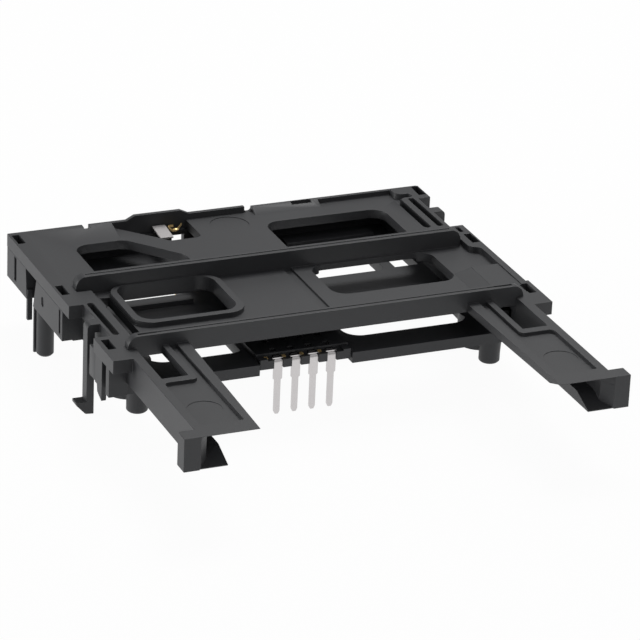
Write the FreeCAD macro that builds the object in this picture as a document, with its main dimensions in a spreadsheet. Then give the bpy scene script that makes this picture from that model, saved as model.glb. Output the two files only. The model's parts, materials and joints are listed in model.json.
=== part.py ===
import FreeCAD, Part
import math
import os
import Sketcher

os.makedirs("parts", exist_ok=True)
doc = FreeCAD.newDocument("card_socket")

# Frame: X runs across the card, Y into the socket, Z up.
# Z = 0 is the top of the circuit board, and X = 0 is the middle of the card.

# The driving dimensions, in millimetres.
SIZES = [
    ("card_width", 53.98, "width of the card the guides take"),
    ("card_play", 0.35, "total side play of the card in its guides"),
    ("pitch", 2.54, "spacing of the contacts across the card"),
    ("row_gap", 7.62, "distance between the two rows of contact noses"),
    ("group_offset", 3.1, "contact group to the left of the card middle"),
    ("top", 9.4, "height of the side flanges above the board"),
    ("half_width", 31.0, "half the width over the side walls"),
    ("half_depth", 20.6, "half the depth of the body without its arms"),
    ("front_block", 15.8, "rear end of the front corner blocks"),
    ("rear_block", 15.5, "front end of the rear corner blocks"),
    ("left_flange_near", 5.3, "front end of the left flange"),
    ("left_wall_near", 2.7, "front end of the left wall of the base"),
    ("right_flange_far", 4.7, "rear end of the right flange"),
    ("hook_clear", 1.2, "half the deck gap beside the hook slits"),
    ("flange_thick", 1.9, "height of the flange edge"),
    ("flange_inner", 28.45, "inner edge of the flanges"),
    ("deck_drop", 0.85, "deck top below the flanges"),
    ("deck_thick", 1.35, "thickness of the deck"),
    ("rib_rise", 1.65, "height of the cross ribs above the flanges"),
    ("rib_wide", 1.5, "width of the rear cross rib"),
    ("rib_ahead", 0.35, "front face of the rear cross rib ahead of the middle"),
    ("wall_thick", 1.3, "thickness of the front wall at its top"),
    ("rib_half", 28.25, "half length of the ribs"),
    ("rib_round", 1.5, "radius of the rounded rib ends"),
    ("groove", 0.22, "width and depth of the fine line along the ribs"),
    ("rim_wide", 0.65, "width of the rear rim"),
    ("rim_lower", 0.2, "right part of the rear rim below the flanges"),
    ("window_round", 2.2, "corner radius of the deck windows"),
    ("window_in", 5.1, "inner edge of the right windows"),
    ("window_out", 23.2, "outer edge of the windows"),
    ("window_left", 9.35, "inner edge of the left windows"),
    ("left_window_end", 12.3, "front edge of the left front window"),
    ("right_window_end", 10.85, "front edge of the right front window"),
    ("rear_window_near", 2.2, "front edge of the rear windows"),
    ("rear_window_far", 15.6, "rear edge of the rear windows"),
    ("collar", 1.0, "width of the raised collar round the left window"),
    ("slot_x", 30.1, "side slots from the middle"),
    ("slot_y", 18.25, "outer side slots from the middle slot"),
    ("slot_wide", 1.05, "width of the side slots"),
    ("slot_long", 3.1, "length of the side slots"),
    ("arm_out", 28.6, "outer face of the guide arms"),
    ("arm_reach", 27.0, "guide arms past the front wall"),
    ("arm_root", 19.9, "inner edge of the arms at the root"),
    ("arm_tip", 20.7, "inner edge of the arms at the tip"),
    ("arm_thick", 1.1, "thickness of the arm plate"),
    ("arm_deep", 4.45, "height of the arm side wall"),
    ("arm_wall_in", 27.2, "inner face of the arm side wall"),
    ("arm_step", 31.5, "front end of the deep part of the arm recess"),
    ("arm_hole_end", 30.2, "front end of the hole in the arm plate"),
    ("nose_long", 1.6, "length of the crossbar at the arm tips"),
    ("arm_sink", 0.5, "depth of the recess in the arm tops"),
    ("ear_out", 2.15, "ears past the outer face of the arms"),
    ("ear_long", 2.3, "length of the ears"),
    ("lip_in", 24.87, "inner edge of the lip under the card"),
    ("lip_drop", 2.95, "top of the lip below the flanges"),
    ("floor_drop", 4.85, "top of the base floor below the flanges"),
    ("floor_thick", 1.55, "thickness of the base floor"),
    ("peg_radius", 1.45, "radius of the board pegs"),
    ("peg_below", 1.3, "board pegs below the board top"),
    ("peg_x", 25.5, "front pegs from the middle"),
    ("peg_y", 17.0, "front pegs ahead of the middle"),
    ("post_x", 29.65, "rear posts from the middle"),
    ("post_radius", 1.2, "radius of the rear posts"),
    ("post_y", 8.0, "rear posts behind the middle"),
    ("post_below", 3.6, "rear posts below the board top"),
    ("rest_radius", 3.0, "radius of the rests behind the front pegs"),
    ("hook_out", 30.7, "outer face of the snap hook legs"),
    ("hook_thick", 1.05, "thickness of the hook legs"),
    ("hook_y", 11.0, "snap hooks from the middle"),
    ("slit_wide", 0.9, "width of the slits that free the hooks"),
    ("slit_long", 10.7, "length of the slits that free the hooks"),
    ("beam_slit", 1.05, "width of the second slits, inside the hook strips"),
    ("hook_long", 1.7, "length of the snap hooks along the side"),
    ("hook_below", 3.55, "snap hooks below the board top"),
    ("barb", 1.4, "barbs past the hook legs"),
    ("board_thick", 1.6, "board the hooks snap under"),
    ("pin_wide", 0.85, "width of the contact tails"),
    ("pin_shoulder", 1.2, "width of the contact strips at the shoulder"),
    ("pin_thick", 0.3, "thickness of the contact strips"),
    ("pin_below", 3.15, "contact tails below the board top"),
    ("pin_step", 1.9, "bottom of the contact shoulders above the board"),
    ("tail_y", 19.9, "front row of tails ahead of the middle"),
    ("rear_tail_y", 16.9, "rear row of tails behind the middle"),
    ("stop_y", 19.35, "face the card end meets"),
    ("nose_back", 11.25, "rear row of noses ahead of the card end"),
    ("bed_end", 11.5, "rear end of the contact bed ahead of the middle"),
    ("blade_wide", 1.9, "width of the card switch blade"),
    ("blade_thick", 0.2, "thickness of the switch strips"),
    ("fit_gap", 0.05, "clearance between the two mouldings"),
]


class Length:
    """A length with its value now and the formula that keeps it live."""

    def __init__(self, value, formula):
        self.value = value
        self.formula = formula

    def _join(self, other, sign, value):
        return Length(value, "(%s %s %s)" % (self.formula, sign, other.formula))

    def __add__(self, other):
        other = as_length(other)
        return self._join(other, "+", self.value + other.value)

    def __sub__(self, other):
        other = as_length(other)
        return self._join(other, "-", self.value - other.value)

    def __mul__(self, other):
        other = as_length(other)
        return self._join(other, "*", self.value * other.value)

    def __truediv__(self, other):
        other = as_length(other)
        return self._join(other, "/", self.value / other.value)

    def __neg__(self):
        return Length(-self.value, "(-1 * %s)" % self.formula)

    __radd__ = __add__
    __rmul__ = __mul__

    def __rsub__(self, other):
        return as_length(other) - self


def as_length(number):
    if isinstance(number, Length):
        return number
    return Length(float(number), "%.6g" % number if number >= 0 else "(-%.6g)" % -number)


def make_sheet():
    """The spreadsheet of driving dimensions, returned with a Length for each."""
    sheet = doc.addObject("Spreadsheet::Sheet", "Sizes")
    lengths = {}
    for row, (alias, value, meaning) in enumerate(SIZES, start=1):
        sheet.set("A%d" % row, meaning)
        sheet.set("B%d" % row, "%g" % value)
        sheet.setAlias("B%d" % row, alias)
        lengths[alias] = Length(value, "Sizes." + alias)
    doc.recompute()
    return lengths


D = make_sheet()
SIDES = ((-1, "left"), (1, "right"))
TOP = D["top"]
DECK = TOP - D["deck_drop"]
DECK_LOW = DECK - D["deck_thick"]
FLANGE_LOW = TOP - D["flange_thick"]
FLOOR = TOP - D["floor_drop"]
FLOOR_LOW = FLOOR - D["floor_thick"]
LIP = TOP - D["lip_drop"]
FRONT = -D["half_depth"]
REAR = D["half_depth"]
ARM_TIP = FRONT - D["arm_reach"]
GUIDE = (D["card_width"] + D["card_play"]) / 2
RIB = -D["rib_ahead"]
BLOCK = -D["front_block"]
RIM = REAR - D["rim_wide"]
BASE_REAR = REAR - 0.1


def in_order(a, b):
    """Two places, the lower first."""
    a = as_length(a)
    b = as_length(b)
    return (a, b) if a.value <= b.value else (b, a)


def origin_plane(body, plane):
    for feature in body.Origin.OriginFeatures:
        if feature.Role == plane + "_Plane":
            return feature


def new_body(label):
    body = doc.addObject("PartDesign::Body", label)
    body.Label = label
    body.Placement = FreeCAD.Placement()
    return body


def new_sketch(body, name, plane, level, across=0):
    """A sketch on an origin plane, moved to a level along its axis and across it."""
    level = as_length(level)
    across = as_length(across)
    shift = -level if plane == "XZ" else level
    sketch = body.newObject("Sketcher::SketchObject", name)
    sketch.AttachmentSupport = [(origin_plane(body, plane), "")]
    sketch.MapMode = "FlatFace"
    base = FreeCAD.Vector(across.value, 0, shift.value)
    sketch.AttachmentOffset = FreeCAD.Placement(base, FreeCAD.Rotation())
    sketch.setExpression(".AttachmentOffset.Base.x", across.formula)
    sketch.setExpression(".AttachmentOffset.Base.z", shift.formula)
    sketch.Visibility = False
    return sketch


def set_size(sketch, kind, arguments, length):
    """A sketch dimension tied to the spreadsheet."""
    index = sketch.addConstraint(Sketcher.Constraint(kind, *arguments, length.value))
    name = "size%d" % index
    sketch.renameConstraint(index, name)
    sketch.setExpression(".Constraints." + name, length.formula)


def pin_point(sketch, geometry, end, x, y):
    set_size(sketch, "DistanceX", (-1, 1, geometry, end), x)
    set_size(sketch, "DistanceY", (-1, 1, geometry, end), y)


def draw_circle(sketch, x, y, radius):
    centre = FreeCAD.Vector(x.value, y.value, 0)
    index = sketch.addGeometry(Part.Circle(centre, FreeCAD.Vector(0, 0, 1), radius.value))
    pin_point(sketch, index, 3, x, y)
    set_size(sketch, "Radius", (index,), radius)


def corner_cut(before, corner, after, radius):
    """Where a rounded corner leaves its two sides, and the arc between."""
    into = (before - corner).normalize()
    out = (after - corner).normalize()
    half = into.getAngle(out) / 2
    reach = radius / math.tan(half)
    start = corner + into * reach
    end = corner + out * reach
    middle = corner + (into + out).normalize() * (radius / math.sin(half) - radius)
    return start, middle, end


def draw_loop(sketch, corners):
    """A closed outline; a corner given as (x, y, radius) is rounded."""
    corners = [tuple(as_length(part) for part in corner) for corner in corners]
    points = [FreeCAD.Vector(c[0].value, c[1].value, 0) for c in corners]
    count = len(corners)
    starts = list(points)
    ends = list(points)
    arcs = {}
    for i, corner in enumerate(corners):
        if len(corner) == 3:
            before = points[i - 1]
            after = points[(i + 1) % count]
            cut = corner_cut(before, points[i], after, corner[2].value)
            ends[i], starts[i] = cut[0], cut[2]
            arcs[i] = Part.Arc(*cut)
    lines = []
    for i in range(count):
        line = Part.LineSegment(starts[i], ends[(i + 1) % count])
        lines.append(sketch.addGeometry(line))
    for i, corner in enumerate(corners):
        before = lines[i - 1]
        after = lines[i]
        if i not in arcs:
            sketch.addConstraint(Sketcher.Constraint("Coincident", before, 2, after, 1))
            pin_point(sketch, after, 1, corner[0], corner[1])
            continue
        mark = sketch.addGeometry(Part.Point(points[i]), True)
        pin_point(sketch, mark, 1, corner[0], corner[1])
        sketch.addConstraint(Sketcher.Constraint("PointOnObject", mark, 1, before))
        sketch.addConstraint(Sketcher.Constraint("PointOnObject", mark, 1, after))
        arc = sketch.addGeometry(arcs[i])
        first = sketch.getPoint(arc, 1)
        near, far = (1, 2) if first.distanceToPoint(ends[i]) < 1e-6 else (2, 1)
        sketch.addConstraint(Sketcher.Constraint("Tangent", before, 2, arc, near))
        sketch.addConstraint(Sketcher.Constraint("Tangent", arc, far, after, 1))
        set_size(sketch, "Radius", (arc,), corner[2])


def draw(sketch, loops):
    for loop in loops:
        if loop[0] == "circle":
            draw_circle(sketch, *[as_length(part) for part in loop[1:]])
        else:
            draw_loop(sketch, loop)


def extrude(body, kind, name, plane, start, low, high, loops):
    sketch = new_sketch(body, name + "_outline", plane, start)
    draw(sketch, loops)
    feature = body.newObject("PartDesign::" + kind, name)
    feature.Profile = sketch
    depth = as_length(high) - low
    feature.Length = depth.value
    feature.setExpression("Length", depth.formula)
    return feature


def add(body, name, plane, low, high, *loops):
    """Material between two levels along the plane's axis."""
    low, high = in_order(low, high)
    start = high if plane == "XZ" else low
    return extrude(body, "Pad", name, plane, start, low, high, loops)


def cut(body, name, plane, low, high, *loops):
    """A pocket between two levels along the plane's axis."""
    low, high = in_order(low, high)
    start = low if plane == "XZ" else high
    return extrude(body, "Pocket", name, plane, start, low, high, loops)


def peg(body, name, x, y, radius, bottom, bevel, root_radius=None):
    """A round peg under the floor, revolved; it may grow thicker above the board."""
    root = [(0, FLOOR), (radius, FLOOR)]
    if root_radius is not None:
        root = [(0, FLOOR), (root_radius, FLOOR), (radius, 0)]
    sketch = new_sketch(body, name + "_profile", "XZ", y, x)
    draw(sketch, [root + [(radius, bottom + bevel), (radius - bevel, bottom), (0, bottom)]])
    feature = body.newObject("PartDesign::Revolution", name)
    feature.Profile = sketch
    feature.ReferenceAxis = (sketch, ["V_Axis"])
    feature.Angle = 360


def rect(x0, x1, y0, y1, radius=None):
    """A rectangle between two places each way, given in either order."""
    corners = [(x0, y0), (x1, y0), (x1, y1), (x0, y1)]
    if radius is None:
        return corners
    return [corner + (radius,) for corner in corners]


def around(x, y, wide, long, radius=None):
    """A rectangle about a middle point."""
    wide = as_length(wide) / 2
    long = as_length(long) / 2
    return rect(x - wide, x + wide, y - long, y + long, radius)


def finish(body):
    doc.recompute()
    return body


# The cover moulding: deck, flanges, cross ribs, guide arms and snap hooks.

def cover_plate(body):
    """The deck block, the flanges beside it and the four corner blocks."""
    inner = D["flange_inner"]
    out = D["half_width"]
    add(body, "deck_block", "XY", DECK_LOW, TOP, rect(-29.0, 28.95, FRONT, REAR))
    add(body, "left_flange", "XY", FLANGE_LOW, TOP,
        rect(-out, -inner, -D["left_flange_near"], REAR))
    add(body, "right_flange", "XY", FLANGE_LOW, TOP,
        rect(inner, out - 0.1, BLOCK, D["right_flange_far"]))
    add(body, "rear_block", "XY", FLANGE_LOW, TOP,
        rect(inner, out - 0.2, D["rear_block"], REAR))
    for side, name in SIDES:
        add(body, name + "_front_block", "XY", FLANGE_LOW, TOP,
            rect((out + 0.3) * side, inner * side, FRONT - 2.8, BLOCK))


def cover_recess(body):
    """The sunk deck between the flanges, with the strips beside the hooks left up."""
    inner = D["flange_inner"]
    wall = FRONT + D["wall_thick"]
    strip = inner - 2.05
    gap = D["hook_clear"]
    cut(body, "deck_recess", "XY", DECK, TOP, [
        (-inner, RIM),
        (-inner, -gap),
        (-strip, -gap),
        (-strip, -17.0, 1.5),
        (-24.6, wall),
        (29.9, wall),
        (29.9, -3.2, 0.9),
        (inner, -3.2, 1.2),
        (inner, gap),
        (strip, gap),
        (strip, 16.4, 0.8),
        (inner, 16.4, 0.5),
        (inner, 17.7, 0.4),
        (strip, 17.7, 1.2),
        (strip, RIM)])
    cover_ramps(body)
    add(body, "corner_pad", "XY", DECK_LOW, TOP - 0.15, rect(25.8, 29.9, wall, -9.0))
    cut(body, "panel_groove", "XY", DECK - 0.3, DECK, rect(1.5, 2.75, wall, RIB))
    cut(body, "deck_disc", "XY", DECK - 0.08, DECK, ("circle", 0.35, 16.4, 2.8))


def cover_ramps(body):
    """Gentle slopes from the rear deck up to both sides and to parts of the rim."""
    left = -D["flange_inner"]
    right = D["flange_inner"] - 2.05
    low_rim = TOP - D["rim_lower"]
    foot = -D["window_out"] - 0.7
    add(body, "flange_ramp", "XZ", RIB, RIM,
        [(left, DECK_LOW), (left, TOP), (foot, DECK), (foot, DECK_LOW)])
    add(body, "strip_ramp", "XZ", RIB, 15.9, [
        (right, DECK_LOW), (right, TOP), (right - D["beam_slit"], TOP),
        (-foot, DECK), (-foot, DECK_LOW)])
    add(body, "left_rim_ramp", "YZ", left, -15.9, [
        (16.2, DECK_LOW), (16.2, DECK), (RIM, TOP), (RIM, DECK_LOW)])
    add(body, "right_rim_ramp", "YZ", 5.1, 15.2, [
        (18.4, DECK_LOW), (18.4, DECK), (RIM, low_rim), (RIM, DECK_LOW)])


def cover_ribs(body):
    """The rear cross rib and the front wall, with rounded ends and a fine groove."""
    peak = TOP + D["rib_rise"]
    half = D["rib_half"]
    profile = [
        (-half, DECK_LOW),
        (half, DECK_LOW),
        (half, peak, D["rib_round"]),
        (-half, peak, D["rib_round"])]
    for name, face, thick in (("rear_rib", RIB, D["rib_wide"]),
                              ("front_wall", FRONT, D["wall_thick"])):
        add(body, name, "XZ", face, face + thick, profile)
        cut(body, name + "_line", "XY", peak - D["groove"], peak,
            around(0, face + thick * 0.53, (half - D["rib_round"]) * 2, D["groove"]))
    groove_y = FRONT + D["wall_thick"] * 0.53
    end = half - D["rib_round"]
    cut(body, "groove_ends", "XY", peak - 0.4, peak,
        around(1.3 - end, groove_y, 2.6, 0.34), around(end - 1.3, groove_y, 2.6, 0.34))
    cut(body, "mouth_lead", "YZ", -GUIDE, GUIDE, [
        (FRONT, DECK_LOW), (FRONT, TOP - 1.2), (FRONT + 2.0, DECK_LOW)])


def cover_rim(body):
    """Notches, a pocket and a hump along the rear rim, which is lower to the right."""
    cut(body, "rim_notches", "XZ", RIM - 0.5, REAR,
        [(-20.1, TOP), (-20.1, DECK, 0.4), (-19.2, DECK, 0.4), (-19.2, TOP)],
        [(4.0, TOP), (4.0, DECK, 0.45), (5.1, DECK, 0.45), (5.1, TOP)])
    cut(body, "low_rim", "XY", TOP - D["rim_lower"], TOP, rect(4.5, D["half_width"], RIM, REAR))
    cut(body, "rim_pocket", "XY", TOP - 0.7, TOP, rect(11.1, 14.1, RIM - 0.4, REAR - 0.2))
    add(body, "rim_hump", "XZ", RIM, REAR, [
        (-13.7, TOP), (-4.4, TOP), (-5.7, TOP + 0.62), (-12.5, TOP + 0.62)])


def cover_windows(body):
    """Four windows, one with a raised collar, and the opening over the card switch."""
    near = D["window_in"]
    out = D["window_out"]
    left = -D["window_left"]
    r = D["window_round"]
    edge = D["collar"]
    front = -D["left_window_end"]
    middle = D["rear_window_near"]
    far = D["rear_window_far"]
    add(body, "window_collar", "XY", DECK, TOP - 0.15,
        rect(-out - edge, left + edge, front - edge, RIB, r + edge / 2))
    cut(body, "windows", "XY", DECK_LOW, TOP,
        rect(-out, left, front, RIB - 0.25, r),
        rect(near, out, -D["right_window_end"], RIB - 0.25, r),
        rect(near, out, middle, far, r),
        [(-out, middle, r), (left, middle, r), (left, 8.2, r), (-15.6, far, r), (-out, far, r)])
    cut(body, "switch_opening", "XY", DECK_LOW, TOP, [
        (-15.4, RIM), (-10.5, 14.6, 1.0), (-9.6, 13.5, 0.8), (-4.9, 13.5, 0.8), (-4.9, RIM)])


def cover_slots(body):
    """Side slots over the base, and the slits that free the snap hooks."""
    slots = []
    for side, name in SIDES:
        for place in (-1, 0, 1):
            slots.append(around(D["slot_x"] * side, D["slot_y"] * place,
                                D["slot_wide"], D["slot_long"]))
    cut(body, "side_slots", "XY", FLANGE_LOW, TOP, *slots)
    wide = D["slit_wide"]
    long = D["slit_long"]
    cut(body, "hook_slits", "XY", DECK_LOW, TOP,
        around(-28.05, -10.4, wide, long, wide * 0.46),
        around(27.85, 10.65, wide, long, wide * 0.46))
    wide = D["beam_slit"]
    inside = D["flange_inner"] - 2.05 - wide / 2
    cut(body, "beam_slits", "XY", DECK_LOW, TOP,
        around(-inside, -10.4, wide, long, wide * 0.46),
        around(inside, 10.65, wide, long, wide * 0.46))
    cut(body, "small_slot", "XY", TOP - 1.0, TOP, around(29.75, 3.3, 0.6, 1.7))


def cover_arm(body, side, name):
    """One guide arm: a plate over the card, a side wall, a lip below and an ear."""
    root = FRONT + D["wall_thick"]
    out = D["arm_out"] * side
    wall = D["arm_wall_in"] * side
    root_in = D["arm_root"] * side
    tip_in = D["arm_tip"] * side
    recess_in = (D["arm_tip"] + 0.95) * side
    nose = ARM_TIP + D["nose_long"]
    plate_low = TOP - D["arm_thick"]
    wall_low = TOP - D["arm_deep"]
    sunk = TOP - D["arm_sink"]
    step = -D["arm_step"]
    add(body, name + "_arm_plate", "XY", plate_low, TOP,
        [(root_in, root), (tip_in, ARM_TIP), (out, ARM_TIP), (out, root)])
    add(body, name + "_arm_wall", "XY", wall_low, TOP, rect(wall, out, ARM_TIP, root))
    cut(body, name + "_lead_in", "XY", wall_low, TOP,
        [(wall, ARM_TIP), (out - 0.1 * side, ARM_TIP), (wall, ARM_TIP + 1.5)])
    add(body, name + "_arm_nose", "XY", plate_low, TOP, rect(tip_in, out, ARM_TIP, nose))
    cut(body, name + "_arm_ramp", "YZ", root_in - side, out - 0.1 * side, [
        (ARM_TIP, plate_low), (nose + 1.5, plate_low), (ARM_TIP, TOP - 0.05)])
    add(body, name + "_arm_lip", "YZ", D["lip_in"] * side, out, [
        (ARM_TIP, wall_low), (ARM_TIP, wall_low + 0.15), (ARM_TIP + 3.5, LIP),
        (FRONT - 5.0, LIP), (FRONT - 6.5, wall_low)])
    add(body, name + "_ear", "XY", wall_low - 0.1, TOP,
        rect(out, out + D["ear_out"] * side, ARM_TIP, ARM_TIP + D["ear_long"]))
    cut(body, name + "_arm_recess", "XY", sunk, TOP, [
        (recess_in, FRONT), (recess_in, nose + 1.5, 0.3), (wall + 0.2 * side, nose + 1.5, 0.3),
        (wall + 0.2 * side, step, 0.7), (recess_in + 1.05 * side, step, 0.7),
        (recess_in + 1.05 * side, FRONT)])
    cut(body, name + "_arm_hole", "XY", plate_low, TOP,
        rect(23.6 * side, wall, -D["arm_hole_end"], FRONT))
    cut(body, name + "_arm_disc", "XY", sunk - 0.06, sunk,
        ("circle", 24.8 * side, -39.2, 2.3))


def cover_hook(body, turn, name):
    """A snap hook under the board; turn is 1 for the left front, -1 for the right rear."""
    out = -D["hook_out"] * turn
    inner = out + D["hook_thick"] * turn
    barb = out - D["barb"] * turn
    tip = -D["hook_below"]
    catch = -(D["board_thick"] + D["fit_gap"])
    middle = -D["hook_y"] * turn
    low = middle - D["hook_long"] / 2
    high = middle + D["hook_long"] / 2
    add(body, name + "_hook_tab", "XY", TOP - 1.2, TOP,
        rect(out + 0.6 * turn, -28.6 * turn, low, high))
    add(body, name + "_hook_leg", "XZ", low, high, [
        (inner, TOP), (out, TOP, 0.6), (out, catch), (barb, catch),
        (barb, catch - 0.4, 0.3), (out - 0.1 * turn, tip + 0.1, 0.5), (inner, tip)])


def make_cover():
    body = new_body("cover_frame")
    cover_plate(body)
    cover_recess(body)
    cover_rim(body)
    cover_arm(body, -1, "left")
    cover_arm(body, 1, "right")
    cover_ribs(body)
    cover_windows(body)
    cover_slots(body)
    cover_hook(body, 1, "front")
    cover_hook(body, -1, "rear")
    return finish(body)


# The base moulding: floor, side walls, board pegs and the bed of the contacts.

def base_floor(body):
    """The floor between the guides, its four openings and three low ribs on it."""
    wide = GUIDE + 2.3
    out = D["window_out"]
    left = -D["window_left"]
    near = D["window_in"]
    front = -15.85
    back = 13.6
    bay = GUIDE + 0.95
    add(body, "floor", "XY", FLOOR_LOW, FLOOR, rect(-wide, wide, FRONT, BASE_REAR))
    cut(body, "hook_bays", "XY", FLOOR_LOW, FLOOR,
        rect(-wide, -bay, BLOCK, -D["left_wall_near"]),
        rect(bay, wide, D["right_flange_far"], D["rear_block"]))
    cut(body, "floor_openings", "XY", FLOOR_LOW, FLOOR,
        rect(-out - 0.1, left, front, -4.6, 2.5),
        rect(near - 0.2, out - 0.2, front, -4.6, 2.5),
        rect(-20.6, -10.9, 4.3, back, 1.0),
        rect(near, 18.8, 3.7, back, 1.0))
    add(body, "floor_ribs", "XY", FLOOR, FLOOR + 0.6,
        rect(-20.7, -10.8, 1.0, 2.5), rect(20.6, 23.0, 4.0, 6.2), rect(8.6, 22.0, 15.0, 17.0))


def base_walls(body):
    """Side walls, the ledges the card slides on, and the stop at the rear."""
    out = D["half_width"]
    wall = GUIDE + 0.5
    low = FLOOR_LOW + 0.15
    ledge_rear = REAR - 1.2
    rear_wall_start = {"left": -D["left_wall_near"], "right": D["rear_block"]}
    for side, name in SIDES:
        add(body, name + "_guide", "XY", FLOOR_LOW, DECK_LOW,
            rect(GUIDE * side, (GUIDE + 0.95) * side, BLOCK, ledge_rear))
        add(body, name + "_ledge", "XY", FLOOR_LOW, LIP - 0.1,
            rect(D["lip_in"] * side, wall * side, BLOCK - 2.2, ledge_rear))
        add(body, name + "_rear_wall", "XY", low, FLANGE_LOW,
            rect(wall * side, out * side, rear_wall_start[name], BASE_REAR))
        add(body, name + "_front_box", "XY", FLOOR_LOW + 0.1, FLANGE_LOW - 0.1,
            rect(28.4 * side, out * side, FRONT - 0.5, BLOCK))
    add(body, "right_mid_wall", "XY", low, FLANGE_LOW,
        rect(wall, out - 0.1, BLOCK, D["right_flange_far"]))
    add(body, "stop_wall", "XY", FLOOR_LOW, DECK_LOW, rect(-29.0, 29.0, D["stop_y"], BASE_REAR))
    cut(body, "switch_notch", "XZ", D["stop_y"], BASE_REAR,
        rect(-7.1, -5.3, FLOOR + 0.5, DECK_LOW))


def base_left_details(body):
    """The wedge-shaped gap, the slits and the dimple in the left wall."""
    out = -D["half_width"]
    slit_low = FLOOR_LOW + 0.8
    slit_high = FLANGE_LOW - 0.2
    cut(body, "wall_gap", "YZ", out, out + 1.4, [
        (8.1, FLANGE_LOW), (9.45, FLOOR_LOW), (12.0, FLOOR_LOW), (12.5, FLANGE_LOW)])
    cut(body, "box_slit", "YZ", out, out + 0.8, rect(-19.9, -18.4, FLOOR_LOW, FLANGE_LOW))
    add(body, "pointed_foot", "YZ", out, out + 0.7, [
        (-16.5, FLOOR_LOW + 0.1), (-16.7, FLOOR_LOW - 0.9),
        (-18.3, FLOOR_LOW - 1.6), (-18.4, FLOOR_LOW + 0.1)])
    cut(body, "wall_slits", "YZ", out, out + 0.8,
        rect(16.5, 17.4, slit_low, slit_high), rect(-1.9, -1.3, slit_low, slit_high))
    cut(body, "wall_dimple", "YZ", out, out + 0.2, rect(4.9, 5.9, TOP - 4.6, TOP - 3.2, 0.45))


def base_pegs(body):
    """Front pegs with their rests, and the longer rear posts."""
    r = D["peg_radius"]
    for side, name in SIDES:
        x = D["peg_x"] * side
        add(body, name + "_rest", "XY", 0, FLOOR, ("circle", x, -13.4, D["rest_radius"]))
        peg(body, name + "_peg", x, -D["peg_y"], r, -D["peg_below"], 0.25, r + 0.25)
        peg(body, name + "_post", D["post_x"] * side, -D["post_y"] * side,
            D["post_radius"], -D["post_below"], 0.35)
        add(body, name + "_foot", "XY", 0, FLOOR, around(30.55 * side, -12.15 * side, 0.7, 0.6))


def contact_x(index):
    """The four contact lines across the card, left to right."""
    return -D["group_offset"] + D["pitch"] * (index - 1.5)


def base_contact_bed(body):
    """The notch in the front bar and the comb that holds the contact strips apart."""
    middle = -D["group_offset"]
    half = D["pitch"] * 2.6
    left = middle - half
    right = middle + half
    comb_low = FLOOR_LOW + 0.6
    comb_y = FRONT + 1.6
    bed_front = FRONT + 1.7
    bed_rear = -D["bed_end"]
    bed_top = FLOOR + 0.75
    tooth_long = 2.6
    cut(body, "bed_notch", "XY", FLOOR_LOW, FLOOR, rect(left, right, FRONT, FRONT + tooth_long))
    teeth = []
    for i in range(5):
        x = middle + D["pitch"] * (i - 2)
        tooth = D["pitch"] - D["pin_shoulder"] - D["fit_gap"] * 2
        teeth.append(around(x, comb_y, tooth, tooth_long))
    add(body, "comb", "XY", comb_low, FLOOR + 0.25, *teeth)
    add(body, "comb_back", "XY", comb_low, FLOOR, rect(left, right, FRONT + 1.0, FRONT + 3.0))
    add(body, "bed_cover", "XY", FLOOR, bed_top, rect(left, right, bed_front, bed_rear))
    channels = []
    peepholes = []
    for i in range(4):
        x = contact_x(i)
        channels.append(around(x, (bed_front + bed_rear) / 2,
                               D["pin_wide"] + 0.2, bed_rear - bed_front))
        for y in (-18.0, -15.0):
            peepholes.append(around(x, y, 0.8, 0.9))
    cut(body, "strip_channels", "XY", FLOOR, FLOOR + 0.45, *channels)
    cut(body, "peepholes", "XY", FLOOR, bed_top, *peepholes)
    for side, name in SIDES:
        add(body, name + "_cheek", "XY", comb_low, FLOOR + 0.5,
            around(middle + half * side * 0.9, comb_y, 1.1, tooth_long))


def make_base():
    body = new_body("base_frame")
    base_floor(body)
    base_walls(body)
    base_left_details(body)
    base_contact_bed(body)
    base_pegs(body)
    return finish(body)


# The sprung contacts, stamped from strip and bent.

def strip(label, x, wide, path):
    """A bent strip of even thickness: its side view, padded to the strip's width."""
    body = new_body(label)
    add(body, "bent_strip", "YZ", x - wide / 2, x + wide / 2, path)
    return body


def contact_path(tail, nose, way):
    """Side view of a contact, from its shoulder through the bed up to the nose."""
    t = D["pin_thick"]
    low = FLOOR + D["fit_gap"]
    peak = LIP + 0.35
    half = t / 2 * way
    rise = nose - 5.2 * way
    end = nose + 1.6 * way
    return [
        (tail - half, D["pin_step"]),
        (tail - half, low + t, 0.4),
        (rise, low + t),
        (nose - 0.45 * way, peak, 0.5),
        (nose + 0.45 * way, peak, 0.5),
        (end, peak - 0.9),
        (end, peak - 1.25),
        (nose, peak - t * 1.2),
        (rise, low),
        (tail + half, low),
        (tail + half, D["pin_step"])]


def make_contact(label, x, tail, nose, way):
    """One contact with its tail: a shoulder that stops the pin, then a narrower end."""
    body = strip(label, x, D["pin_wide"], contact_path(tail, nose, way))
    half = D["pin_wide"] / 2
    back = tail - D["pin_thick"] / 2
    face = tail + D["pin_thick"] / 2
    step = D["pin_step"]
    point = -D["pin_below"]
    add(body, "shoulder", "XZ", back, face,
        rect(x - D["pin_shoulder"] / 2, x + D["pin_shoulder"] / 2, step - 0.05, step + 1.85))
    add(body, "tail", "XZ", back, face,
        [(x - half, step), (x - half, point, 0.35), (x + half, point, 0.35), (x + half, step)])
    finish(body)


def make_contacts():
    """Two rows of four, mirrored, with their noses one row distance apart."""
    rear_nose = D["stop_y"] - D["nose_back"]
    front_nose = rear_nose - D["row_gap"]
    for i in range(4):
        x = contact_x(i)
        make_contact("front_contact_%d" % (i + 1), x, -D["tail_y"], front_nose, 1)
        make_contact("rear_contact_%d" % (i + 1), x, D["rear_tail_y"], rear_nose, -1)


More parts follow.
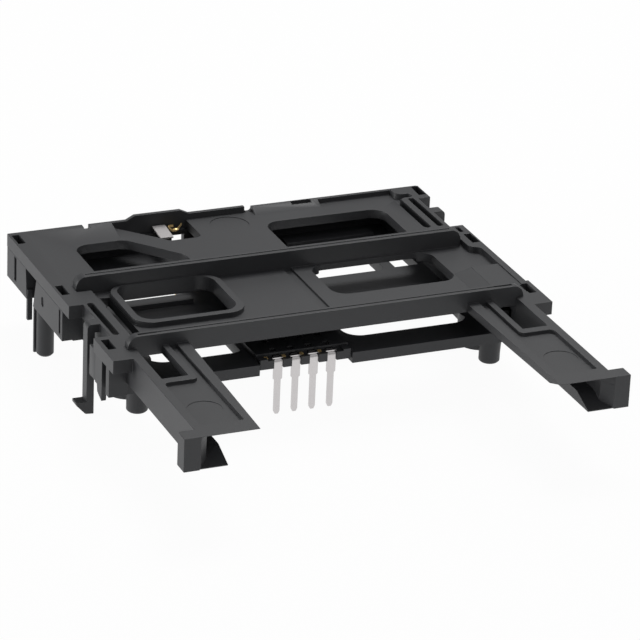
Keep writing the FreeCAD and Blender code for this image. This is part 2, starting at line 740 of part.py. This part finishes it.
def make_switch():
    """The two leaves of the switch that the card end closes."""
    t = D["blade_thick"]
    blade = TOP - 1.15
    contact = TOP - 1.4
    finish(strip("switch_blade", -9.05, D["blade_wide"], [
        (19.7, blade), (19.7, blade - t), (16.2, blade - 0.4 - t), (16.2, blade - 0.4)]))
    finish(strip("switch_contact", -6.9, 1.1, [
        (19.2, contact), (19.2, contact - t), (17.2, contact - 0.6 - t), (17.2, contact - 0.6)]))


def export_all():
    for body in doc.Objects:
        if body.TypeId != "PartDesign::Body":
            continue
        for feature in [body] + list(body.Group):
            if "Invalid" in feature.State or "Error" in feature.State:
                raise RuntimeError("%s: %s is %s" % (body.Label, feature.Label, feature.State))
        shape = body.Shape
        if shape.isNull() or not shape.isValid() or len(shape.Solids) != 1:
            raise RuntimeError("%s: bad shape, %d solids" % (body.Label, len(shape.Solids)))
        shape.exportStep("parts/%s.step" % body.Label)
        print(body.Label, round(shape.Volume, 2), len(shape.Faces))


make_cover()
make_base()
make_contacts()
make_switch()
doc.recompute()
export_all()
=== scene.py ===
import json
import math

import bmesh
import bpy
from mathutils import Matrix, Vector

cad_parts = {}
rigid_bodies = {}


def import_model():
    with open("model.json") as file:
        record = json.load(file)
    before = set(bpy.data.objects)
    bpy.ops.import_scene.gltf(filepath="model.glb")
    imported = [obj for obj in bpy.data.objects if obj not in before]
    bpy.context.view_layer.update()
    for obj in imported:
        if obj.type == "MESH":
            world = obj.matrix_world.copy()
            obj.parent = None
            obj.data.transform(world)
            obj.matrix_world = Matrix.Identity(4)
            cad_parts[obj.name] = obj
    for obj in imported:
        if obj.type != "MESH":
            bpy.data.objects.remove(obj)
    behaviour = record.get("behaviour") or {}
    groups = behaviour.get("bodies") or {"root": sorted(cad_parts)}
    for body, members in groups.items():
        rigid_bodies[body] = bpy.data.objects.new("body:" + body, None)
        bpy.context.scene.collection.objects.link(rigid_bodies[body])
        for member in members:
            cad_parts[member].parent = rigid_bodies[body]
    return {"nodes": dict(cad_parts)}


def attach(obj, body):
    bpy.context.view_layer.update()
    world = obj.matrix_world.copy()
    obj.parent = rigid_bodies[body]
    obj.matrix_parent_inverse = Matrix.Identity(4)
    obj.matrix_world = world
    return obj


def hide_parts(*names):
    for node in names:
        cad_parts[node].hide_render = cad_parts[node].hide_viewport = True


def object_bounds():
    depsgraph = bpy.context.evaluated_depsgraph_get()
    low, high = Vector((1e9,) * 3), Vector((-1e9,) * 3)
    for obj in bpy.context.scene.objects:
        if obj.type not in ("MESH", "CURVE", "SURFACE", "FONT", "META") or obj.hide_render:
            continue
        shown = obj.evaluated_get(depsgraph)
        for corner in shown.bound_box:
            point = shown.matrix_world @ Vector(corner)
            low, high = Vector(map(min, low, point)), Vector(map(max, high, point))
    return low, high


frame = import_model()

cad_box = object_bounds()
NODES = frame["nodes"]
MM = 0.001


# Places and sizes, in millimetres and in the frame of the solids: X across the card, Y into the
# socket, Z up from the board. A box is given by its low corner and its high corner.

# faces and levels of the mouldings that the forms below take their places from
TOP = 9.4
DECK = 8.55
FLANGE_LOW = 7.5
FLOOR = 4.55
FLOOR_LOW = 3.0
POST_END = -3.6
HALF_WIDTH = 31.0
WINDOW_OUT = 23.2
ARM_OUT = 28.6
ARM_WALL_IN = 27.2
ARM_TIP = -47.6
BLOCK_REAR = -15.8
RIB_FACE = -0.35
CARD_STOP = 19.35
INSET = 0.05

# openings cut in the mouldings, the comb whose edges stay sharp, and the rounding of the rest
COLLAR_SLIT = ((-25.6, -14.6, 6.9), (-24.32, -2.4, TOP + 0.2))
WINDOW_UNDERCUT = ((4.3, RIB_FACE - 0.3, 7.0), (WINDOW_OUT - INSET, RIB_FACE + 1.0, 7.63))
FLOOR_SLOT = ((20.5, 4.0, FLOOR_LOW - 0.2), (24.0, 9.8, 5.4))
COMB = ((-9.5, -20.4, 4.4), (3.5, -17.6, 5.2))
COVER_ROUND = 0.07
BASE_ROUND = 0.06

# contacts: the strip, its places along a row, and its side view
PITCH = 2.54
ROW_COUNT = 4
ROW_MIDDLE = -3.1
STRIP_WIDE = 0.85
STRIP_THICK = 0.3
STRIP_BEND = 0.5
STRIP_STEP = 0.15
TIP_LONG = 0.4
TIP_SHARE = 0.5
SHOULDER = (5.05, 7.7, 0.39)
FRONT_TAILS = -19.9
REAR_TAILS = 16.9
FRONT_NOSES = 0.48
REAR_NOSES = 8.1
TAIL_END = -3.15
BED = 4.75
NOSE_TOP = 6.65
NOSE_END = 5.73
SPRING_LONG = 5.2
NOSE_HALF = 0.45
LEAD_LONG = 1.6

# small corners and barbs at the front row's shoulders
CORNER_WIDE = 1.56
CORNER_THICK = 0.14
BARB_WIDE = 0.5
BARB_THICK = 0.1
BARB_ASIDE = 1.62

# card switch: the curl of its gold leaf, and the bump on it
LEAF_MIDDLE = -6.9
LEAF = [(1.1, 19.2, 8.25), (0.4, 18.7, 7.85), (-0.1, 18.3, 7.75), (-0.6, 18.35, 7.85),
        (-0.95, 18.9, 8.05), (-0.7, 19.4, 8.1), (0.0, 19.55, 8.0)]
LEAF_WIDE = 0.32
LEAF_THICK = 0.12
LEAF_BEND = 0.3
LEAF_ACROSS = (0, 0.3, 1)
BUMP_PLACE = (-6.95, 18.35, 7.9)
BUMP_RADII = (0.5, 0.38, 0.22)

# upright blocks: name, finish, low corner and high corner
SILL = ("switch_sill", "base_plastic",
        (-7.2, CARD_STOP + INSET, 6.58), (-5.2, 20.4, FLANGE_LOW - 0.1))
BOX_END = ("left_box_end", "base_plastic",
           (-30.9, BLOCK_REAR - 0.1, FLOOR_LOW + 0.1), (-28.4, -13.3, FLANGE_LOW - 0.1))
FLOOR_END = ("left_floor_end", "base_plastic",
             (-10.5, -15.84, FLOOR_LOW + 0.01), (-9.2, -4.61, FLOOR - 0.01))
WINDOW_EDGE = ("left_window_edge", "cover_plastic",
               (-22.2, RIB_FACE - 0.24, 6.93), (-10.4, RIB_FACE + 0.4, 7.25))
POST_FIN = ("left_post_fin", "base_plastic",
            (INSET - HALF_WIDTH, 8.95, POST_END + INSET), (-30.4, 9.35, 3.3))

# slope at the right front corner: its sides, its ends, and its top at either side
SLOPE_SIDES = (23.35, 25.85)
SLOPE_ENDS = (-18.9, -9.05)
SLOPE_TOPS = (DECK + 0.01, 9.24)

# solid tips of the arms: length, corner cut off, and depth below the top
ARM_TIP_LONG = 3.0
ARM_TIP_CORNER = 1.5
ARM_TIP_DEEP = 1.2

# lamps: name, place and size in metres, and power; then the world's level, the floor's half
# width in metres, and how white the floor is to the camera
LAMPS = [
    ("key_lamp", (-0.30, 0.10, 0.06), 0.11, 0.38),
    ("top_lamp", (0.11, 0.13, 0.33), 0.20, 0.70),
    ("fill_lamp", (0.10, -0.60, 0.50), 0.40, 0.25),
]
WORLD_LEVEL = 0.34
FLOOR_HALF = 2
FLOOR_SEEN = 0.96

# finishes: the dark and the light of the colour, the roughness, and how metallic a metal is
PLASTICS = {
    "cover_plastic": ((0.030, 0.031, 0.034), (0.040, 0.041, 0.044), 0.5),
    "base_plastic": ((0.024, 0.025, 0.028), (0.034, 0.035, 0.038), 0.5),
}
METALS = {
    "contact_metal": ((0.58, 0.56, 0.56), (0.68, 0.66, 0.66), 0.36, 1.0),
    "blade_metal": ((0.43, 0.41, 0.41), (0.50, 0.48, 0.48), 0.45, 0.3),
    "gold_metal": ((0.80, 0.56, 0.24), (0.92, 0.68, 0.32), 0.32, 0.7),
}

# patterns of the finishes: spots a metre, and the depth of the fine ones in millimetres
SHADE_SPOTS = 90.0
GRAIN_SPOTS = 9000.0
GRAIN_DEEP = 0.02
WEAR_SPOTS = 1800.0
WEAR_DEEP = 0.01

# camera: lens at a 36 mm sensor, place, and its three axes, worked out from the photograph
LENS = 209.89
SENSOR = 36
CAMERA_PLACE = (-181.740, -430.938, 209.992)
CAMERA_RIGHT = (0.921789, -0.385646, 0.039775)
CAMERA_DOWN = (-0.123930, -0.390318, -0.912301)
CAMERA_AHEAD = (0.367350, 0.836020, -0.407584)

# limits for work on a mesh: doubled points, flats, edges to round, and shading
MERGE = 0.0005 * MM
FLAT = math.radians(0.6)
SHARP = math.radians(32)
RUN_TURN = math.radians(50)
CREASE = math.radians(38)
ROOM = 2.4


# Maths written as expressions, for materials and for shapes.

class Value:
    """A node's socket that can be added, multiplied and compared."""

    def __init__(self, maker, socket):
        self.maker = maker
        self.socket = socket

    def __add__(self, other):
        return self.maker.math("ADD", self, other)

    def __sub__(self, other):
        return self.maker.math("SUBTRACT", self, other)

    def __rsub__(self, other):
        return self.maker.math("SUBTRACT", other, self)

    def __mul__(self, other):
        return self.maker.math("MULTIPLY", self, other)

    def __truediv__(self, other):
        return self.maker.math("DIVIDE", self, other)

    def __rtruediv__(self, other):
        return self.maker.math("DIVIDE", other, self)

    def __gt__(self, other):
        return self.maker.math("GREATER_THAN", self, other)

    def __lt__(self, other):
        return self.maker.math("LESS_THAN", self, other)

    __radd__ = __add__
    __rmul__ = __mul__


class Maker:
    """Makes and joins the nodes of one tree."""

    def __init__(self, tree):
        self.tree = tree

    def node(self, kind, settings=None, **sockets):
        """A node with its settings made first, then its sockets set or linked."""
        made = self.tree.nodes.new(kind)
        for name, value in (settings or {}).items():
            if name == "capture_items":
                for item in value:
                    made.capture_items.new(*item)
            else:
                setattr(made, name, value)
        for name, value in sockets.items():
            self.feed(made.inputs[name.replace("_", " ")], value)
        return made

    def feed(self, socket, value):
        """A socket linked to a value, or set to a plain number, colour or vector."""
        if isinstance(value, Value):
            self.tree.links.new(value.socket, socket)
        else:
            socket.default_value = value

    def out(self, made, name=0):
        return Value(self, made.outputs[name])

    def math(self, operation, first, second):
        made = self.node("ShaderNodeMath", {"operation": operation})
        self.feed(made.inputs[0], first)
        self.feed(made.inputs[1], second)
        return self.out(made)


class Finish(Maker):
    """A material."""

    def __init__(self, name):
        self.material = bpy.data.materials.new(name)
        self.material.use_nodes = True
        super().__init__(self.material.node_tree)
        self.shader = self.tree.nodes["Principled BSDF"]

    def noise(self, scale, detail):
        place = self.out(self.node("ShaderNodeTexCoord"), "Object")
        made = self.node("ShaderNodeTexNoise", Vector=place, Scale=scale, Detail=detail)
        return self.out(made, "Fac")

    def set(self, **sockets):
        for name, value in sockets.items():
            self.feed(self.shader.inputs[name.replace("_", " ")], value)

    def relief(self, height, distance, strength):
        bump = self.node("ShaderNodeBump", Height=height, Distance=distance, Strength=strength)
        self.set(Normal=self.out(bump))

    def blend(self, factor, dark, light):
        """A colour between two, by a varying factor."""
        made = self.node("ShaderNodeMix", {"data_type": "RGBA"},
                         Factor=factor, A=dark + (1,), B=light + (1,))
        return self.out(made, "Result")


class Shape(Maker):
    """A geometry tree with named inputs, used by a modifier."""

    def __init__(self, name):
        super().__init__(bpy.data.node_groups.new(name, "GeometryNodeTree"))
        self.inside = self.node("NodeGroupInput")
        self.result = self.node("NodeGroupOutput")
        self.ids = {}
        self.add_input("Path", "NodeSocketGeometry")
        self.tree.interface.new_socket("Geometry", in_out="OUTPUT",
                                       socket_type="NodeSocketGeometry")

    def add_input(self, name, kind):
        socket = self.tree.interface.new_socket(name, in_out="INPUT", socket_type=kind)
        self.ids[name] = socket.identifier

    def given(self, name):
        return Value(self, self.inside.outputs[name])

    def end(self, geometry):
        self.feed(self.result.inputs[0], geometry)


# Finishes.

def moulded_plastic(name, dark, light, roughness):
    """Matte black plastic: a grained mould surface and slow changes of shade."""
    finish = Finish(name)
    shade = finish.noise(SHADE_SPOTS, 2.0)
    grain = finish.noise(GRAIN_SPOTS, 2.0)
    finish.set(Base_Color=finish.blend(shade, dark, light),
               Roughness=roughness + (shade - 0.5) * 0.1)
    finish.relief(grain, GRAIN_DEEP * MM, 0.35)
    return finish.material


def plated_metal(name, dark, light, roughness, metallic):
    """Stamped strip: plated, with fine streaks of wear."""
    finish = Finish(name)
    wear = finish.noise(WEAR_SPOTS, 4.0)
    finish.set(Base_Color=finish.blend(wear, dark, light), Metallic=metallic,
               Roughness=roughness + (wear - 0.5) * 0.15)
    finish.relief(wear, WEAR_DEEP * MM, 0.2)
    return finish.material


def make_finishes():
    made = {name: moulded_plastic(name, *look) for name, look in PLASTICS.items()}
    made.update((name, plated_metal(name, *look)) for name, look in METALS.items())
    return made


# Objects and meshes.

def add_object(name, data):
    made = bpy.data.objects.new(name, data)
    bpy.context.scene.collection.objects.link(made)
    return made


def hand_over(piece, slot, *replaced):
    """The finished piece joins the part's root body in place of some nodes, which are hidden; the
    slot is not used.
    """
    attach(piece, "root")
    if replaced:
        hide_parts(*replaced)


def settle(piece):
    """The piece's modifiers made part of its mesh."""
    bpy.context.view_layer.update()
    graph = bpy.context.evaluated_depsgraph_get()
    made = bpy.data.meshes.new_from_object(piece.evaluated_get(graph))
    piece.modifiers.clear()
    piece.data = made


def merged(mesh):
    """A mesh opened for work, with its doubled points joined."""
    work = bmesh.new()
    work.from_mesh(mesh)
    bmesh.ops.remove_doubles(work, verts=work.verts, dist=MERGE)
    return work


def put_back(work, mesh):
    """Smooth shading with the sharp edges kept, and the work written to its mesh."""
    for face in work.faces:
        face.smooth = True
    for edge in work.edges:
        edge.smooth = edge.calc_face_angle(0.0) < CREASE
    work.to_mesh(mesh)
    work.free()


def crease(mesh):
    """Faces turned outwards and shaded smooth, with sharp edges kept sharp."""
    work = merged(mesh)
    bmesh.ops.recalc_face_normals(work, faces=work.faces)
    put_back(work, mesh)


# The mouldings: the solids' own shape with small openings cut and sharp edges broken.

def room_beside(edge, face):
    """How far a face runs from one of its edges before it meets another of them."""
    start = edge.verts[0].co
    along = edge.verts[1].co - start
    length = along.length
    along.normalize()
    inward = face.normal.cross(along)
    if (face.calc_center_median() - start).dot(inward) < 0:
        inward = -inward
    room = 1.0
    for other in face.edges:
        if set(other.verts) & set(edge.verts):
            continue
        ends = []
        for vert in other.verts:
            place = vert.co - start
            ends.append((place.dot(along), place.dot(inward)))
        (t0, d0), (t1, d1) = sorted(ends)
        if t1 < 0 or t0 > length:
            continue
        span = max(t1 - t0, 1e-12)
        for t in (max(t0, 0.0), min(t1, length)):
            depth = abs(d0 + (d1 - d0) * (t - t0) / span)
            room = min(room, depth)
    return room


def runs_on(edge, chosen):
    """Whether a short edge lies in a smooth run of chosen ones, such as round a corner."""
    for vert in edge.verts:
        near = [e for e in vert.link_edges if e in chosen and e is not edge]
        if len(near) != 1:
            return False
        away = near[0].other_vert(vert).co - vert.co
        back = vert.co - edge.other_vert(vert).co
        if away.angle(back, math.pi) > RUN_TURN:
            return False
    return True


def inside(place, box):
    """Whether a place lies in a box."""
    low, high = box
    return all(a * MM <= part <= b * MM for a, part, b in zip(low, place, high))


def opened_copy(node, openings):
    """A closed copy of a node's mesh with box-shaped openings cut in it."""
    mesh = NODES[node].data.copy()
    work = merged(mesh)
    work.to_mesh(mesh)
    work.free()
    solid = add_object(node + "_copy", mesh)
    cutters = []
    for low, high in openings:
        work = bmesh.new()
        bmesh.ops.create_cube(work, size=1.0)
        for vert in work.verts:
            vert.co = [(a + (b - a) * (c + 0.5)) * MM for a, b, c in zip(low, high, vert.co)]
        box = bpy.data.meshes.new("opening")
        work.to_mesh(box)
        work.free()
        cut = solid.modifiers.new("opening", "BOOLEAN")
        cut.operation = "DIFFERENCE"
        cut.solver = "EXACT"
        cut.object = add_object("opening", box)
        cutters.append(cut.object)
    settle(solid)
    mesh = solid.data
    for spare in cutters + [solid]:
        bpy.data.objects.remove(spare)
    return mesh


def moulding(name, node, slot, width, openings=(), kept_sharp=None):
    """A copy of a node's mesh with openings, whole flats and rounded edges."""
    width = width * MM
    mesh = opened_copy(node, openings)
    work = merged(mesh)
    bmesh.ops.dissolve_limit(work, angle_limit=FLAT, verts=work.verts, edges=work.edges)
    work.normal_update()
    chosen = set()
    for edge in work.edges:
        if edge.calc_face_angle(0.0) > SHARP:
            if kept_sharp and inside((edge.verts[0].co + edge.verts[1].co) / 2, kept_sharp):
                continue
            if min(room_beside(edge, face) for face in edge.link_faces) > width * ROOM:
                chosen.add(edge)
    short = [edge for edge in chosen if edge.calc_length() < width * ROOM]
    kept = chosen - set(edge for edge in short if not runs_on(edge, chosen))
    bmesh.ops.bevel(work, geom=sorted(kept, key=lambda edge: edge.index), offset=width,
                    offset_type="OFFSET", segments=2, profile=0.5, affect="EDGES",
                    clamp_overlap=False, miter_outer="SHARP")
    put_back(work, mesh)
    mesh.materials.clear()
    mesh.materials.append(FINISHES[slot])
    piece = add_object(name, mesh)
    weights = piece.modifiers.new("even_shading", "WEIGHTED_NORMAL")
    weights.keep_sharp = True
    settle(piece)
    hand_over(piece, slot, node)


def make_mouldings():
    moulding("cover_shell", "cover_frame", "cover_plastic", COVER_ROUND,
             openings=[COLLAR_SLIT, WINDOW_UNDERCUT])
    moulding("base_shell", "base_frame", "base_plastic", BASE_ROUND,
             openings=[FLOOR_SLOT], kept_sharp=COMB)


# The stamped strips: one side view each, repeated along a row.

def strip_row_shape():
    """A bent strip along a path, widened at its shoulder, and repeated across."""
    shape = Shape("strip_row")
    for name in ("Pitch", "Middle", "Width", "Thickness", "Bend", "Step", "Point",
                 "Tip Share", "Shoulder From", "Shoulder To", "Shoulder Extra"):
        shape.add_input(name, "NodeSocketFloat")
    shape.add_input("Count", "NodeSocketInt")
    shape.add_input("Across", "NodeSocketVector")
    shape.add_input("Metal", "NodeSocketMaterial")

    # the strip's middle line, with its bends rounded
    line = shape.out(shape.node("GeometryNodeMeshToCurve", Mesh=shape.given("Path")))
    bent = shape.node("GeometryNodeFilletCurve", {"mode": "POLY"}, Curve=line, Count=6,
                      Radius=shape.given("Bend"), Limit_Radius=True)
    fine = shape.node("GeometryNodeResampleCurve", {"mode": "LENGTH"}, Curve=shape.out(bent),
                      Length=shape.given("Step"))
    faced = shape.node("GeometryNodeSetCurveNormal", {"mode": "FREE"}, Curve=shape.out(fine),
                       Normal=shape.given("Across"))
    kept = shape.node("GeometryNodeCaptureAttribute", {"capture_items": [("FLOAT", "along")]},
                      Geometry=shape.out(faced),
                      along=shape.out(shape.node("GeometryNodeSplineParameter"), "Length"))
    along = shape.out(kept, "along")

    # its section, wider at the shoulder and narrower at the tip of the tail
    section = shape.node("GeometryNodeCurvePrimitiveQuadrilateral", {"mode": "RECTANGLE"},
                         Width=shape.given("Width"), Height=shape.given("Thickness"))
    strip = shape.node("GeometryNodeCurveToMesh", Curve=shape.out(kept, "Geometry"),
                       Profile_Curve=shape.out(section), Fill_Caps=True)
    place = shape.node("ShaderNodeSeparateXYZ",
                       Vector=shape.out(shape.node("GeometryNodeInputPosition")))
    shoulder = (along > shape.given("Shoulder From")) * (along < shape.given("Shoulder To"))
    wide = shoulder * shape.given("Shoulder Extra") / shape.given("Width") + 1
    share = shape.given("Tip Share")
    tip = shape.math("MINIMUM", along / shape.given("Point"), 1.0) * (1 - share) + share
    moved = shape.node("ShaderNodeCombineXYZ", X=shape.out(place, "X") * wide * tip,
                       Y=shape.out(place, "Y"), Z=shape.out(place, "Z"))
    shaped = shape.node("GeometryNodeSetPosition", Geometry=shape.out(strip),
                        Position=shape.out(moved))

    # the row
    first = shape.given("Middle") - (shape.given("Count") - 1) * shape.given("Pitch") * 0.5
    row = shape.node("GeometryNodeMeshLine", {"mode": "OFFSET"}, Count=shape.given("Count"),
                     Start_Location=shape.out(shape.node("ShaderNodeCombineXYZ", X=first)),
                     Offset=shape.out(shape.node("ShaderNodeCombineXYZ", X=shape.given("Pitch"))))
    copies = shape.node("GeometryNodeInstanceOnPoints", Points=shape.out(row),
                        Instance=shape.out(shaped))
    whole = shape.node("GeometryNodeRealizeInstances", Geometry=shape.out(copies))
    dressed = shape.node("GeometryNodeSetMaterial", Geometry=shape.out(whole),
                         Material=shape.given("Metal"))
    shape.end(shape.out(dressed))
    return shape


def strip_row(name, slot, path, replaced=(), count=1, middle=0.0, width=STRIP_WIDE,
              thickness=STRIP_THICK, bend=STRIP_BEND, tip=1.0, shoulder=(0, 0, 0),
              across=(1, 0, 0)):
    """A row of strips; the path holds (Y, Z) or (X, Y, Z) places."""
    mesh = bpy.data.meshes.new(name + "_path")
    places = [Vector(place if len(place) == 3 else (0,) + place) * MM for place in path]
    mesh.from_pydata(places, [(i, i + 1) for i in range(len(path) - 1)], [])
    piece = add_object(name, mesh)
    bent = piece.modifiers.new("strips", "NODES")
    bent.node_group = STRIPS.tree
    bent[STRIPS.ids["Count"]] = count
    bent[STRIPS.ids["Metal"]] = FINISHES[slot]
    bent[STRIPS.ids["Across"]] = [float(part) for part in across]
    bent[STRIPS.ids["Tip Share"]] = tip
    sizes = {"Pitch": PITCH, "Middle": middle, "Width": width, "Thickness": thickness,
             "Bend": bend, "Step": STRIP_STEP, "Point": TIP_LONG, "Shoulder From": shoulder[0],
             "Shoulder To": shoulder[1], "Shoulder Extra": shoulder[2]}
    for key, value in sizes.items():
        bent[STRIPS.ids[key]] = value * MM
    settle(piece)
    crease(piece.data)
    hand_over(piece, slot, *replaced)


def contact_side(tails, noses):
    """Side view of a contact: its tail, its bed and the spring that ends in its nose."""
    way = math.copysign(1, noses - tails)
    return [(tails, TAIL_END), (tails, BED), (noses - SPRING_LONG * way, BED),
            (noses - NOSE_HALF * way, NOSE_TOP), (noses + NOSE_HALF * way, NOSE_TOP),
            (noses + LEAD_LONG * way, NOSE_END)]


def make_contacts():
    """Both rows of contacts, with the corners and barbs that hold the front ones."""
    for row, metal, tails, noses in (("front", "contact_metal", FRONT_TAILS, FRONT_NOSES),
                                     ("rear", "gold_metal", REAR_TAILS, REAR_NOSES)):
        replaced = ["%s_contact_%d" % (row, i) for i in range(1, ROW_COUNT + 1)]
        strip_row(row + "_contact_row", metal, contact_side(tails, noses), replaced,
                  ROW_COUNT, ROW_MIDDLE, tip=TIP_SHARE, shoulder=SHOULDER)
    strip_row("contact_corners", "contact_metal",
              [(FRONT_TAILS + 0.06, BED + 0.12), (FRONT_TAILS + 0.32, BED + 0.12)],
              count=ROW_COUNT, middle=ROW_MIDDLE, width=CORNER_WIDE, thickness=CORNER_THICK)
    strip_row("contact_barbs", "gold_metal",
              [(FRONT_TAILS + 0.05, BED + 0.2), (FRONT_TAILS + 0.5, BED + 0.3)],
              count=ROW_COUNT, middle=ROW_MIDDLE - BARB_ASIDE, width=BARB_WIDE,
              thickness=BARB_THICK)


# Small forms that the solids don't have.

def block(name, slot, near, far, rounded=True):
    """A solid between two outlines with as many places each."""
    count = len(near)
    sides = [(i, (i + 1) % count, (i + 1) % count + count, i + count) for i in range(count)]
    ends = [tuple(range(count)), tuple(range(count, 2 * count))]
    mesh = bpy.data.meshes.new(name)
    mesh.from_pydata([[part * MM for part in place] for place in near + far], [], sides + ends)
    mesh.materials.append(FINISHES[slot])
    crease(mesh)
    piece = add_object(name, mesh)
    if rounded:
        bevel = piece.modifiers.new("rounded", "BEVEL")
        bevel.width = BASE_ROUND * MM
        bevel.segments = 2
        settle(piece)
        crease(piece.data)
    hand_over(piece, slot)


def prism(name, slot, plan, low, high):
    """An upright block over a plan of (X, Y) places."""
    block(name, slot, [(x, y, low) for x, y in plan], [(x, y, high) for x, y in plan])


def upright_box(name, slot, low, high):
    """An upright block between two corners."""
    plan = [(low[0], low[1]), (high[0], low[1]), (high[0], high[1]), (low[0], high[1])]
    prism(name, slot, plan, low[2], high[2])


def make_switch():
    """The curled gold leaf under the bright blade, its bump, and the sill of the notch."""
    strip_row("switch_leaf", "gold_metal", LEAF, ["switch_contact"], 1, LEAF_MIDDLE,
              LEAF_WIDE, LEAF_THICK, LEAF_BEND, across=LEAF_ACROSS)
    work = bmesh.new()
    bmesh.ops.create_uvsphere(work, u_segments=20, v_segments=12, radius=1.0)
    for vert in work.verts:
        vert.co = [(middle + radius * part) * MM
                   for middle, radius, part in zip(BUMP_PLACE, BUMP_RADII, vert.co)]
    mesh = bpy.data.meshes.new("switch_bump")
    work.to_mesh(mesh)
    work.free()
    mesh.materials.append(FINISHES["gold_metal"])
    crease(mesh)
    hand_over(add_object("switch_bump", mesh), "gold_metal")
    upright_box(*SILL)


def make_small_forms():
    """Ends, edges and a fin of the mouldings, the corner's slope and the arms' solid tips."""
    upright_box(*BOX_END)
    upright_box(*FLOOR_END)
    upright_box(*WINDOW_EDGE)
    (inner, outer), (gentle, steep) = SLOPE_SIDES, SLOPE_TOPS
    rise = [(inner, DECK - INSET), (outer, DECK - INSET), (outer, steep), (inner, gentle)]
    front, rear = [[(x, y, z) for x, z in rise] for y in SLOPE_ENDS]
    block("right_corner_slope", "cover_plastic", front, rear, rounded=False)
    upright_box(*POST_FIN)
    tip, back = ARM_TIP + INSET, ARM_TIP + ARM_TIP_LONG
    plan = [(ARM_WALL_IN, ARM_TIP + ARM_TIP_CORNER), (ARM_OUT - 0.1, tip),
            (ARM_OUT - INSET, tip), (ARM_OUT - INSET, back), (ARM_WALL_IN, back)]
    for side, name in ((-1, "left_arm_tip"), (1, "right_arm_tip")):
        prism(name, "cover_plastic", [(x * side, y) for x, y in plan],
              TOP - ARM_TIP_DEEP, TOP - 0.1)


def dress_blade():
    """The switch's bright blade keeps its own mesh and takes its finish."""
    blade = NODES["switch_blade"]
    blade.data.materials.clear()
    blade.data.materials.append(FINISHES["blade_metal"])


# Floor, lamps, surroundings and camera.

def make_floor():
    """A pale floor at the part's lowest level, white to the camera but for the shadow."""
    low = cad_box[0].z
    half = FLOOR_HALF
    finish = Finish("floor_paper")
    finish.set(Base_Color=(0.9, 0.9, 0.9, 1), Roughness=0.9)
    rays = finish.node("ShaderNodeLightPath")
    glow = finish.node("ShaderNodeEmission", Color=(1, 1, 1, 1), Strength=1.0)
    seen = finish.out(rays, "Is Camera Ray") + finish.out(rays, "Is Glossy Ray")
    mix = finish.node("ShaderNodeMixShader")
    finish.feed(mix.inputs[0], seen * FLOOR_SEEN)
    finish.feed(mix.inputs[1], finish.out(finish.shader))
    finish.feed(mix.inputs[2], finish.out(glow))
    finish.feed(finish.tree.nodes["Material Output"].inputs["Surface"], finish.out(mix))
    mesh = bpy.data.meshes.new("floor")
    corners = [(-half, -half, low), (half, -half, low), (half, half, low), (-half, half, low)]
    mesh.from_pydata(corners, [], [(0, 1, 2, 3)])
    mesh.materials.append(finish.material)
    add_object("floor", mesh)


def make_lamp(name, place, size, power):
    """A round lamp that faces the origin."""
    data = bpy.data.lights.new(name, "AREA")
    data.shape = "DISK"
    data.size = size
    data.energy = power
    lamp = add_object(name, data)
    lamp.location = place
    lamp.rotation_euler = (-Vector(place)).to_track_quat("-Z", "Y").to_euler()


def make_surroundings():
    """A white world, at a plain level on the part and full white behind it."""
    world = bpy.data.worlds.new("surroundings")
    bpy.context.scene.world = world
    world.use_nodes = True
    around = Maker(world.node_tree)
    rays = around.node("ShaderNodeLightPath")
    seen = around.math("MAXIMUM", around.out(rays, "Is Camera Ray"),
                       around.out(rays, "Is Transmission Ray"))
    level = around.node("ShaderNodeMix", Factor=seen, A=WORLD_LEVEL, B=1.0)
    background = around.tree.nodes["Background"]
    around.feed(background.inputs["Color"], (1, 1, 1, 1))
    around.feed(background.inputs["Strength"], around.out(level))


def make_camera():
    data = bpy.data.cameras.new("camera")
    data.sensor_width = SENSOR
    data.lens = LENS
    data.clip_start = 0.05
    data.clip_end = 20
    camera = add_object("camera", data)
    turn = Matrix((CAMERA_RIGHT, [-v for v in CAMERA_DOWN], [-v for v in CAMERA_AHEAD]))
    place = Matrix.Translation(Vector(CAMERA_PLACE) * MM)
    camera.matrix_world = place @ turn.transposed().to_4x4()
    bpy.context.scene.camera = camera


FINISHES = make_finishes()
STRIPS = strip_row_shape()
make_mouldings()
make_contacts()
make_switch()
make_small_forms()
dress_blade()
make_floor()
make_surroundings()
for lamp in LAMPS:
    make_lamp(*lamp)
make_camera()

bpy.context.scene.view_settings.view_transform = "Standard"
